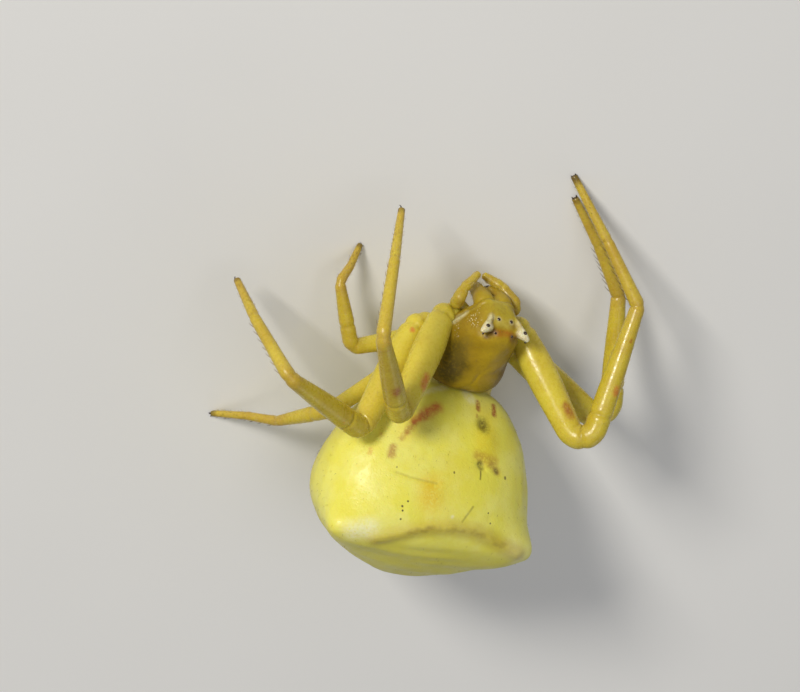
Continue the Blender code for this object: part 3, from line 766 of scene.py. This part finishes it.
def carapace_material():
    skin = Skin("carapace_amber_skin", 0.22, (1, 0.6, 0.15), 0.22, 0.0, 0.24)
    skin.wobbly = skin.places(0.14, 0.30)
    skin.colour = skin.mix(skin.clouds(0.7, 0.35, 0.68, detail=4.0), AMBER, (0.37, 0.25, 0.012))
    skin.lay(skin.clouds(0.07, 0.52, 0.72, 0.0, 0.45), (0.20, 0.125, 0.008))
    skin.lay_marks(CHEST_MARKS, on_chest)
    skin.lay(skin.ramp(skin.along(CHEST_AXES, 2), 0.02, -0.25, 0.0, 0.5), (0.40, 0.28, 0.02))
    pitted = skin.mix(skin.clouds(0.035, 0.36, 0.62, detail=2.0, rough=0.6), DULL_CHALK, CHALK)
    for side in (1, -1):
        mound = skin.patch(skin.wobbly, *chest_path(MOUND_CHALK, side), 0.17, 0.45)
        skin.lay(skin.times(mound, 0.92), pitted)
        for name, (place, radius, *_) in EYES.items():
            middle = on_chest(place, side)
            ring = skin.patch(skin.wobbly, middle, middle, radius * 1.45, 0.45)
            pale = 0.25 if name.startswith("front") else 0.08
            skin.lay(skin.times(ring, pale), CHALK)
    # Painted highlights: pale dots in the strewn patches stand for the glints of the grains,
    # which the granules below also raise as relief.
    painted_glint = skin.cells(0.064, 0.36, 0.20, skin.places(0.03, 0.05))
    painted_glint = skin.times(painted_glint, skin.clouds(0.09, 0.42, 0.50, detail=2.0))
    strewn = 0.0
    for start, end, radius in SPARKLES:
        share = skin.patch(skin.coords, on_chest(start), on_chest(end), radius, 0.7)
        strewn = skin.maths("MAXIMUM", strewn, share)
    skin.lay(skin.times(painted_glint, strewn), (0.92, 0.88, 0.60))
    skin.set("Roughness", skin.clouds(0.10, 0.35, 0.7, 0.34, 0.52))
    skin.relief(skin.grain(0.16, 4.0), 0.028, 0.35)
    granules = skin.times(skin.cells(0.045, 0.5, 0.05), skin.ramp(strewn, 0.0, 1.0, 0.25, 1.0))
    skin.relief(granules, 0.014, 0.7)
    return skin.finish()


def leg_material(name, marks, pale=HONEY, deep=HONEY_DEEP, tip=None):
    """The skin of a leg. The tip is the start, end and radius of a dark patch."""
    skin = Skin(name, 0.45, (1, 0.78, 0.22), 0.45, 0.0, 0.45)
    skin.wobbly = skin.places(0.10, 0.20)
    skin.colour = skin.mix(skin.clouds(1.0, 0.36, 0.68), pale, deep)
    skin.lay(skin.clouds(0.09, 0.52, 0.76, 0.0, 0.18), (0.34, 0.20, 0.02))
    skin.lay_marks(marks, Vector)
    if tip:
        skin.lay(skin.times(skin.patch(skin.coords, *tip, 0.85), 0.9), DARK_BROWN)
    skin.set("Roughness", skin.clouds(0.12, 0.35, 0.7, 0.22, 0.42))
    skin.relief(skin.grain(0.20), 0.012, 0.5)
    skin.relief(skin.cells(0.050, 0.5, 0.05), 0.005, 0.25)
    return skin.finish()


def plain_skin(name, colour, deep, roughness, coat, under):
    """A simpler skin with cloudy colour and fine relief, for small pieces."""
    skin = Skin(name, under, depth=0.15, coat=coat)
    skin.set("Roughness", roughness)
    skin.colour = skin.mix(skin.clouds(0.16, 0.35, 0.7, detail=4.0), colour, deep)
    skin.relief(skin.grain(0.05), 0.006, 0.5)
    return skin.finish()


def eye_material():
    skin = Skin("eye_black_lens", coat=0.4)
    skin.set("Roughness", 0.12)
    skin.set("Coat Roughness", 0.03)
    skin.colour = skin.mix(skin.clouds(0.05, 0.3, 0.7), EYE_BLACK, EYE_BROWN)
    return skin.finish()


def hair_material(name, colour, deep):
    skin = Skin(name)
    skin.set("Roughness", 0.35)
    skin.colour = skin.mix(skin.clouds(0.10, 0.35, 0.7), colour, deep)
    return skin.finish()


# Skins.


def form_skin(form, axes, grid, detail=None):
    """The skin of a body form, with its fine relief pushed along the normals."""
    rings, sides = grid
    bm = bmesh.new()
    loops = []
    for ring in range(rings + 1):
        place = -math.cos(math.pi * ring / rings)
        turns = [TURN * step / sides for step in range(1 if ring in (0, rings) else sides)]
        loops.append([bm.verts.new(form_point(form, place, turn)) for turn in turns])
    join_rings(bm, loops)
    bmesh.ops.recalc_face_normals(bm, faces=bm.faces[:])
    bm.normal_update()
    for vert in bm.verts:
        height = detail(vert.co) if detail else 0.0
        vert.co = axes @ (vert.co + vert.normal * height)
    return bm


def line_distance(point, line):
    """The distance in plan from a point to a chain of points."""
    best = math.inf
    x, y = point.x, point.y
    for start, end in zip(line, line[1:]):
        dx, dy = end[0] - start[0], end[1] - start[1]
        share = ((x - start[0]) * dx + (y - start[1]) * dy) / (dx * dx + dy * dy)
        share = min(1.0, max(0.0, share))
        best = min(best, math.hypot(x - start[0] - share * dx, y - start[1] - share * dy))
    return best


def dents(point, hollows):
    """The depth of the hollows, each given by its middle, radius and depth."""
    return sum(d * bump((point - Vector(middle)).length, r) for middle, r, d in hollows)


def abdomen_detail(point):
    """Relief of the abdomen: ridge, fold, bulge, pits, rear wrinkles, rings and grain."""
    height = 0.0
    if point.z > 0.6:
        height += 0.10 * bump(line_distance(point, RIDGE), 0.20)
        height -= 0.035 * bump(line_distance(point, FOLD), 0.06)
        height += 0.07 * bump((point - SHOULDER).length, 0.42)
        height -= dents(point, PITS)
        pit = point - Vector(PITS[2][0])
        spokes = math.cos(9 * math.atan2(pit.y, pit.x))
        height += 0.014 * spokes * bump(pit.length - 0.22, 0.14)
    rear = max(0.0, min(1.0, (point.y - 1.2) / 0.8))
    across = noise.noise(Vector((point.x * 0.5, point.y * 2.4, point.z * 2.4)))
    height += 0.045 * rear * across
    from_spinnerets = (point - Vector((0.0, 2.6, -1.4))).length
    height += 0.014 * math.cos(13 * from_spinnerets) * bump(from_spinnerets - 1.0, 0.65)
    side = max(0.0, min(1.0, (abs(point.x) - 2.2) / 0.8))
    height += 0.022 * side * noise.noise(Vector((point.x * 2.0, point.y * 0.8, point.z * 3.0)))
    height += 0.020 * noise.noise(point * 1.1)
    height += 0.006 * noise.noise(point * 4.0)
    return height


def chest_detail(point):
    """Relief of the carapace: edge groove, radial furrows, hollows and grain."""
    height = -0.05 * bump(point.z + 0.10, 0.07)
    if point.z > 0.1:
        angle = math.atan2(point.x, 0.6 - point.y)
        reach = math.hypot(point.x, 0.6 - point.y)
        height += 0.020 * math.cos(7 * angle) * bump(reach - 0.9, 0.45)
        height -= 0.03 * bump(point.x, 0.06) * bump(point.y - 0.75, 0.28)
    height -= dents(Vector((abs(point.x), point.y, point.z)), HOLLOWS)
    height += 0.018 * noise.noise(point * 1.8)
    height += 0.007 * noise.noise(point * 6.0)
    return height


def simple_tube(corners, bends, radii, sides, step=0.04, shape=None):
    """A tube along rounded corners, with one radius for each corner.

    Returns its BMesh and the tube as its stops and the function of its radius.
    """
    points, distances, bend_middles = rounded_path(corners, bends)
    middles = [0.0, *bend_middles, distances[-1]]
    table = list(zip(middles, radii))
    stops = path_stops(points, distances, step)

    def radius_at(stop, turn):
        size = eased(table, stop[2])
        return size * shape(stop[2], turn, middles) if shape else size

    return tube_mesh(stops, radius_at, sides), (stops, radius_at)


def add_tube(bm, path, bend, radii, sides):
    """Adds a tube with one bend to a BMesh."""
    tube_bm, tube = simple_tube(path, [bend], radii, sides)
    extra = mesh_of(tube_bm, "extra")
    bm.from_mesh(extra)
    bpy.data.meshes.remove(extra)
    return tube


def fused(bm, voxel, smooth_rounds):
    """Fuses overlapping closed parts of a mesh into one even, smoothed skin."""
    thing = add_object("to_fuse", mesh_of(bm, "to_fuse"))
    fuse = thing.modifiers.new("fuse", "REMESH")
    fuse.mode = "VOXEL"
    fuse.voxel_size = voxel
    fuse.adaptivity = 0.0
    relax = thing.modifiers.new("relax", "SMOOTH")
    relax.factor = 0.5
    relax.iterations = smooth_rounds
    evaluated = thing.evaluated_get(bpy.context.evaluated_depsgraph_get())
    mesh = bpy.data.meshes.new_from_object(evaluated)
    bpy.data.objects.remove(thing)
    bm = bmesh.new()
    bm.from_mesh(mesh)
    bm.normal_update()
    return bm


def make_carapace(material):
    """The head and chest with the eye mounds and the jaws, fused into one skin."""
    bm = form_skin(CHEST_FORM, CHEST_AXES, CHEST_GRID)
    jaws = []
    for side in (1, -1):
        add_tube(bm, chest_path(EYE_MOUND, side), 0.2, EYE_MOUND_RADII, 32)
        add_tube(bm, chest_path(BROW, side), 0.2, BROW_RADII, 24)
        jaws.append(add_tube(bm, chest_path(JAW, side), 0.5, JAW_RADII, 36))
    add_tube(bm, chest_path(BETWEEN_JAWS), 0.2, BETWEEN_JAWS_RADII, 24)
    bmesh.ops.recalc_face_normals(bm, faces=bm.faces[:])
    bm = fused(bm, CHEST_VOXEL, CHEST_SMOOTHING)
    to_chest = CHEST_AXES.inverted()
    for vert in bm.verts:
        vert.co += vert.normal * chest_detail(to_chest @ vert.co)
    nodes = ["carapace", "eye_mound_left", "eye_mound_right", "jaw_left", "jaw_right"]
    finish_piece("carapace_skin", bm, material, nodes)
    return jaws


class Leg:
    """The path, joints and thickness of one leg."""

    def __init__(self, name):
        self.name = name
        self.front = name[-1] in "12"
        bends = [bend * (1.0 if self.front else REAR_BEND_SHARE) for bend in LEG_BENDS]
        points, distances, middles = rounded_path(LEGS[name], bends)
        self.stops = path_stops(points, distances, LEG_STEP)
        self.whole = distances[-1]
        coxa, knee, shin, foot = middles
        self.coxa_end, self.knee, self.shin_end, self.foot_bend = middles
        self.patella = knee + (0.95 if self.front else 0.70)
        mid_thigh, mid_shin = coxa + 0.35 * (knee - coxa), knee + 0.45 * (shin - knee)
        places = (0.0, coxa, mid_thigh, knee, mid_shin, shin, foot, self.whole)
        radii = FRONT_RADII if self.front else REAR_RADII
        slimming = FRONT_SLIMMING if self.front else REAR_SLIMMING
        self.table = [(at, size * slim) for at, size, slim in zip(places, radii, slimming)]
        self.joints = [
            (coxa - 0.10, 0.10), (coxa + 0.22, 0.12), (knee, 0.10),
            (self.patella, 0.09), (shin, 0.10), (foot + 0.10, 0.08),
        ]

    def radius(self, stop, turn):
        """The radius there, with a groove and two low rings at each joint."""
        shape = 1.0
        for joint, depth in self.joints:
            away = stop[2] - joint
            shape -= depth * bump(away, 0.055)
            shape += 0.025 * bump(abs(away) - 0.17, 0.09)
        shape += 0.018 * math.cos(2 * turn)
        return eased(self.table, stop[2]) * shape

    def place(self, distance):
        """The point at a distance along the leg."""
        return self.stops[min(len(self.stops) - 1, int(distance / LEG_STEP))][0]


def make_leg(leg, material):
    bm = tube_mesh(leg.stops, leg.radius, LEG_SIDES)
    for vert in bm.verts:
        vert.co.z = max(vert.co.z, 0.0)
    nodes = [f"leg_{leg.name}_{part}" for part in LEG_PARTS]
    finish_piece(f"leg_{leg.name}_skin", bm, material, nodes)


def cone(bm, points, radii, sides):
    """A tapered, curved spike through points. The last point is its tip."""
    rings = []
    side = (points[1] - points[0]).normalized().orthogonal().normalized()
    for i, point in enumerate(points[:-1]):
        ahead = (points[i + 1] - point).normalized()
        side = (side - ahead * side.dot(ahead)).normalized()
        stop = (point, ahead, 0.0, side)
        turns = [TURN * step / sides for step in range(sides)]
        rings.append([bm.verts.new(tube_point(stop, turn, radii[i])[0]) for turn in turns])
    bm.faces.new(rings[0])
    rings.append([bm.verts.new(points[-1])])
    join_rings(bm, rings)


class Coat:
    """Many hairs in one mesh, each with its small patch on the coat's UV map."""

    def __init__(self, seed):
        self.bm = bmesh.new()
        self.uv = self.bm.loops.layers.uv.new("OFBake")
        self.random = random.Random(seed)

    def hair(self, root, outward, along, size, radius, lean, curl, place, sides=3):
        """A hair that leans along the body and curls on, if it stays above the floor."""
        points = [root - outward * 0.02]
        point = root.copy()
        for step in range(HAIR_STEPS):
            tilt = lean + curl * step / HAIR_STEPS
            heading = outward * math.cos(tilt) + along * math.sin(tilt)
            point = point + heading * (size / HAIR_STEPS)
            points.append(point.copy())
        if min(point.z for point in points) < LOWEST_HAIR:
            return
        taper = HAIR_STEPS + 0.6
        radii = [radius * (1 - step / taper) ** 0.7 for step in range(HAIR_STEPS)]
        first = len(self.bm.faces)
        cone(self.bm, points, radii, sides)
        self.bm.faces.ensure_lookup_table()
        u, v = place
        for face in self.bm.faces[first:]:
            for k, loop in enumerate(face.loops):
                loop[self.uv].uv = (u + UV_PATCH * (k % 2), v + UV_PATCH * (k // 2))

    def finish(self, name, material, slot):
        finish_piece(name, self.bm, material)

    def on_tube(self, tube, hairs, span, band=(0, 1)):
        """Scatters hairs on a span of a tube, leaning towards its tip."""
        stops, radius_at = tube
        count, length, radius, lean, curl = hairs
        draw = self.random
        for _ in range(count):
            share = span[0] + (span[1] - span[0]) * draw.random()
            stop = stops[min(len(stops) - 2, int(share * (len(stops) - 1)))]
            turn = draw.uniform(0, TURN)
            root, outward = tube_point(stop, turn, radius_at(stop, turn) * 0.985)
            size = length * draw.uniform(0.7, 1.25)
            sideways = stop[1].cross(outward) * draw.uniform(-0.25, 0.25)
            along = (stop[1] + sideways).normalized()
            place = (band[0] + (band[1] - band[0]) * share, (turn / TURN) % 1.0)
            tilt = lean + draw.uniform(-0.2, 0.2)
            self.hair(root, outward, along, size, radius, tilt, curl, place)

    def on_form(self, form, axes, hairs, lowest=-math.inf):
        """Scatters hairs on a body form, above a height in its own axes."""
        count, length, radius, lean, curl = hairs
        draw = self.random
        turned = axes.to_3x3()
        made = 0
        while made < count:
            place, turn = draw.uniform(-0.97, 0.97), draw.uniform(0, TURN)
            point = form_point(form, place, turn)
            if point.z <= lowest:
                continue
            ahead = form_point(form, place + 0.01, turn) - point
            around = form_point(form, place, turn + 0.01) - point
            outward = ahead.cross(around).normalized()
            if outward.dot(point) < 0:
                outward = -outward
            along = (turned @ ahead.normalized()) * 0.8 + Vector((0, 0, -0.2))
            size = length * draw.uniform(0.6, 1.3)
            spot = ((place + 1) / 2, turn / TURN)
            out = turned @ outward
            self.hair(axes @ point, out, along.normalized(), size, radius, lean, curl, spot)
            made += 1


def make_eye(word, side, name, material):
    """A glossy lens, sunk a little into the head or the eye mound."""
    place, radius, aim, depth, share = EYES[name]
    inward = (Vector(aim) - Vector(place)).normalized() * radius * depth
    where = Matrix.Translation(on_chest(Vector(place) + inward, side))
    bm = bmesh.new()
    bmesh.ops.create_icosphere(bm, subdivisions=4, radius=radius * share, matrix=where)
    finish_piece(f"eye_{name}_{word}_lens", bm, material, [f"eye_{name}_{word}"])


def make_fang(word, side, material):
    """A short dark fang, folded in under the tip of each jaw."""
    bm = bmesh.new()
    cone(bm, chest_path(FANG, side), FANG_RADII, 12)
    finish_piece(f"fang_{word}", bm, material)


def palp_shape(distance, turn, middles):
    """The share of a feeler's radius, with a groove and low rings at each joint."""
    factor = 1 + 0.04 * math.cos(2 * turn)
    for joint in middles[1:-1]:
        factor -= 0.12 * bump(distance - joint, 0.045)
        factor += 0.04 * bump(abs(distance - joint) - 0.13, 0.06)
    return factor


def make_palp(word, side, material):
    path = chest_path(PALPS[word], side)
    bm, tube = simple_tube(path, [0.15, 0.20, 0.20], PALP_RADII, 28, 0.025, palp_shape)
    nodes = [f"palp_{word}_thigh", f"palp_{word}_shin"]
    finish_piece(f"palp_{word}_skin", bm, material, nodes)
    return tube


def make_waist(material):
    path = [on_chest((0, 1.2, -0.25)), on_abdomen((0, -2.6, 0.0))]
    bm, _ = simple_tube(path, [], (WAIST_RADIUS, WAIST_RADIUS), 28)
    finish_piece("waist_skin", bm, material, ["waist"])


def make_spinnerets(material):
    """Two large and two small spinnerets around the middle, and the flap above them."""
    bm = bmesh.new()
    ahead = (SPINNERET_TIP - SPINNERET_ROOT).normalized()
    rise = Vector((0.0, -ahead.z, ahead.y))
    for sideways, up, radius, reach in SPINNERETS:
        offset = Vector((1, 0, 0)) * sideways + rise * up
        points = []
        for share in SPINNERET_PLACES:
            root = SPINNERET_ROOT + offset * (1 - 0.35 * share)
            points.append(on_abdomen(root + ahead * reach * 1.18 * share))
        cone(bm, points, [radius * share for share in SPINNERET_TAPER], 18)
    finish_piece("spinnerets_skin", bm, material, ["spinnerets"])


def make_claws(legs, material):
    """Two small curved claws at each foot."""
    bm = bmesh.new()
    down = Vector((0, 0, -1))
    for leg in legs:
        point, ahead, _, side = leg.stops[-1]
        flat = ahead.cross(down)
        flat = flat.normalized() if flat.length > 0.2 else side
        bend = (down - ahead * down.dot(ahead)).normalized()
        for way in (1, -1):
            points = []
            for front, below, beside in CLAW:
                place = point + flat * CLAW_SPREAD * way + ahead * front + bend * below
                place = place + flat * beside * way
                place.z = max(place.z, LOWEST_CLAW)
                points.append(place)
            cone(bm, points, CLAW_RADII, 8)
    finish_piece("claws", bm, material)


def leg_shades(leg):
    """Paler thigh, tanned shin and foot, and brownish joints, as marks for the skin."""
    marks = [
        (leg.place(start), leg.place(end), radius, 1.0, colour, strength)
        for start, end, radius, colour, strength in (
            (leg.coxa_end + 0.2, leg.knee - 0.5, 0.60, (0.74, 0.63, 0.080), 0.62),
            (leg.patella + 0.3, leg.shin_end, 0.40, (0.42, 0.29, 0.032), 0.45),
            (leg.shin_end, leg.whole, 0.40, (0.44, 0.28, 0.05), 0.65),
        )
    ]
    for distance, radius, colour, strength in (
        (leg.knee, 0.42, (0.34, 0.21, 0.025), 0.55),
        (leg.patella, 0.24, (0.34, 0.21, 0.025), 0.35),
        (leg.coxa_end, 0.26, (0.40, 0.26, 0.03), 0.30),
        (leg.shin_end, 0.26, (0.40, 0.26, 0.03), 0.30),
        (leg.foot_bend, 0.26, (0.40, 0.26, 0.03), 0.30),
    ):
        place = leg.place(distance)
        marks.append((place, place, radius, 0.9, colour, strength))
    return marks


def make_legs():
    legs = [Leg(name) for name in LEGS]
    for leg in legs:
        end, ahead = leg.stops[-1][:2]
        # Each tip is dark with claw tufts. On the right front leg the dark patch is longer, as
        # painted shade over the end of the leg.
        dark = 0.22 if leg.name == "right_1" else 0.12
        tip = (end - ahead * 0.05, end + ahead * 0.2, dark)
        marks = leg_shades(leg) + LEG_MARKS[leg.name]
        make_leg(leg, leg_material(f"leg_honey_skin_{leg.name}", marks, tip=tip))
    return legs


def spine_turn(stop):
    """The turn around a leg that faces the inner, lower side."""
    _, ahead, _, side = stop
    inward = Vector((0.4, 1.0, -0.5))
    inward = inward - ahead * inward.dot(ahead)
    return math.atan2(inward.dot(ahead.cross(side)), inward.dot(side))


def add_spines(coat, leg, dark, band_start):
    """Pairs of spines below the shin, the longest on a dark front leg."""
    count, start, gap, size = FRONT_SPINES if leg.front else REAR_SPINES
    if leg.front and dark:
        size = LONG_SPINE
    radius, lean, curl = SPINE_SHAPE
    foot, end = leg.shin_end / leg.whole, leg.foot_bend / leg.whole
    for pair in range(count):
        share = foot + (end - foot) * (start + gap * pair)
        stop = leg.stops[int(share * (len(leg.stops) - 1))]
        for way in (0.45, -0.45):
            turn = spine_turn(stop) + way
            root, outward = tube_point(stop, turn, leg.radius(stop, turn) * 0.95)
            place = (band_start + LEG_BAND * share, (turn / TURN) % 1.0)
            coat.hair(root, outward, stop[1], size, radius, lean, curl, place, sides=6)


def make_leg_coats(legs, pale, amber, dark):
    for number, leg in enumerate(legs):
        coat = Coat(100 + number)
        span = (leg.coxa_end / leg.whole, 0.97)
        coat.on_tube((leg.stops, leg.radius), LEG_HAIR, span)
        coat.finish(f"leg_{leg.name}_hairs", pale, "leg_honey")
    spines = Coat(200)
    tufts = Coat(201)
    for number, leg in enumerate(legs):
        dark_tip = leg.name in DARK_TIPPED
        coat = tufts if dark_tip else spines
        start = LEG_BAND_STEP * number
        span = (leg.foot_bend / leg.whole, 0.99)
        coat.on_tube((leg.stops, leg.radius), FOOT_HAIR, span, (start, start + LEG_BAND))
        add_spines(coat, leg, dark_tip, start)
    spines.finish("leg_spines", amber, "leg_honey")
    tufts.finish("leg_tip_hairs", dark, "leg_honey")


def make_body_coats(pale, amber, jaws, palps):
    coat = Coat(7)
    coat.on_form(ABDOMEN_FORM, ABDOMEN_AXES, ABDOMEN_HAIR)
    coat.finish("abdomen_hairs", amber, "abdomen_lemon")
    coat = Coat(8)
    coat.on_form(CHEST_FORM, CHEST_AXES, CHEST_HAIR, lowest=-0.3)
    coat.finish("carapace_hairs", amber, "carapace_amber")
    coat = Coat(9)
    for start, tube in zip((0.0, 0.25), palps):
        band = (start, start + HEAD_BAND)
        coat.on_tube(tube, PALP_HAIR, (0.35, 0.80), band)
        coat.on_tube(tube, PALP_TIP_HAIR, (0.66, 0.97), band)
    for start, tube in zip((0.5, 0.75), jaws):
        coat.on_tube(tube, JAW_HAIR, (0.60, 0.99), (start, start + HEAD_BAND))
    coat.finish("palp_hairs", pale, "leg_honey")


# The studio.


def make_floor():
    skin = Skin("floor_pale")
    skin.coords = skin.node("TexCoord", {}, "Object")
    skin.set("Roughness", 0.9)
    skin.colour = skin.mix(skin.clouds(0.02, 0.2, 0.8, detail=2.0), FLOOR_GREY, FLOOR_PALE)
    bm = bmesh.new()
    bmesh.ops.create_grid(bm, x_segments=4, y_segments=4, size=0.8)
    mesh = mesh_of(bm, "floor")
    mesh.materials.append(skin.finish())
    floor = add_object("floor", mesh)
    floor.location = (0, 0, -0.00001)


def make_lights():
    """An even, pale world and soft square lights that look at the spider."""
    world = bpy.data.worlds.new("studio")
    world.use_nodes = True
    background = world.node_tree.nodes["Background"]
    background.inputs["Color"].default_value = (*WORLD, 1.0)
    background.inputs["Strength"].default_value = WORLD_STRENGTH
    bpy.context.scene.world = world
    for name, (direction, distance, size, power, colour) in LIGHTS.items():
        data = bpy.data.lights.new(name, "AREA")
        data.energy = power
        data.size = size
        data.color = colour
        light = add_object(name, data)
        away = Vector(direction).normalized()
        light.location = LIT_PLACE + away * distance
        light.rotation_mode = "QUATERNION"
        light.rotation_quaternion = (-away).to_track_quat("-Z", "Y")


def make_camera():
    """The photograph's view. The spider's head is towards the top of the picture."""
    aim = CAMERA_AIM + CAMERA_RIGHT * PICTURE_MIDDLE[0] + CAMERA_UP * PICTURE_MIDDLE[1]
    place = CAMERA_AIM + CAMERA_BACK * CAMERA_DISTANCE
    back = (place - aim).normalized()
    right = CAMERA_UP.cross(back).normalized()
    up = back.cross(right)
    turned = Matrix((right, up, back)).transposed().to_4x4()
    data = bpy.data.cameras.new("camera")
    data.sensor_width = SENSOR_WIDTH
    data.lens = SENSOR_WIDTH * CAMERA_DISTANCE / PICTURE_WIDTH
    data.clip_start = 0.005
    data.clip_end = 5.0
    camera = add_object("camera", data)
    camera.matrix_world = Matrix.Translation((place - MIDDLE) * MM) @ turned
    bpy.context.scene.camera = camera


def main():
    bm = form_skin(ABDOMEN_FORM, ABDOMEN_AXES, ABDOMEN_GRID, abdomen_detail)
    finish_piece("abdomen_skin", bm, abdomen_material(), ["abdomen"])
    jaws = make_carapace(carapace_material())
    black = eye_material()
    claw = plain_skin("claw_dark", DARK_BROWN, (0.02, 0.01, 0.006), 0.25, 0.4, 0.0)
    waist = plain_skin("jaw_amber", AMBER_PALE, AMBER, 0.32, 0.3, 0.3)
    palp = leg_material("palp_honey_skin", [], (0.52, 0.40, 0.035), (0.36, 0.23, 0.018))
    pale = hair_material("hair_pale", (0.70, 0.58, 0.25), (0.50, 0.36, 0.10))
    amber = hair_material("hair_amber", (0.26, 0.16, 0.03), (0.12, 0.07, 0.015))
    dark = hair_material("hair_dark", (0.10, 0.055, 0.02), (0.035, 0.02, 0.01))
    palps = []
    for word, side in (("left", 1), ("right", -1)):
        make_fang(word, side, claw)
        palps.append(make_palp(word, side, palp))
        for name in EYES:
            make_eye(word, side, name, black)
    make_waist(waist)
    make_spinnerets(plain_skin("spinneret_lemon", (0.62, 0.50, 0.10), AMBER, 0.45, 0.1, 0.3))
    legs = make_legs()
    make_claws(legs, claw)
    make_leg_coats(legs, pale, amber, dark)
    make_body_coats(pale, amber, jaws, palps)
    make_floor()
    make_lights()
    make_camera()
    bpy.context.scene.view_settings.view_transform = "Standard"


main()
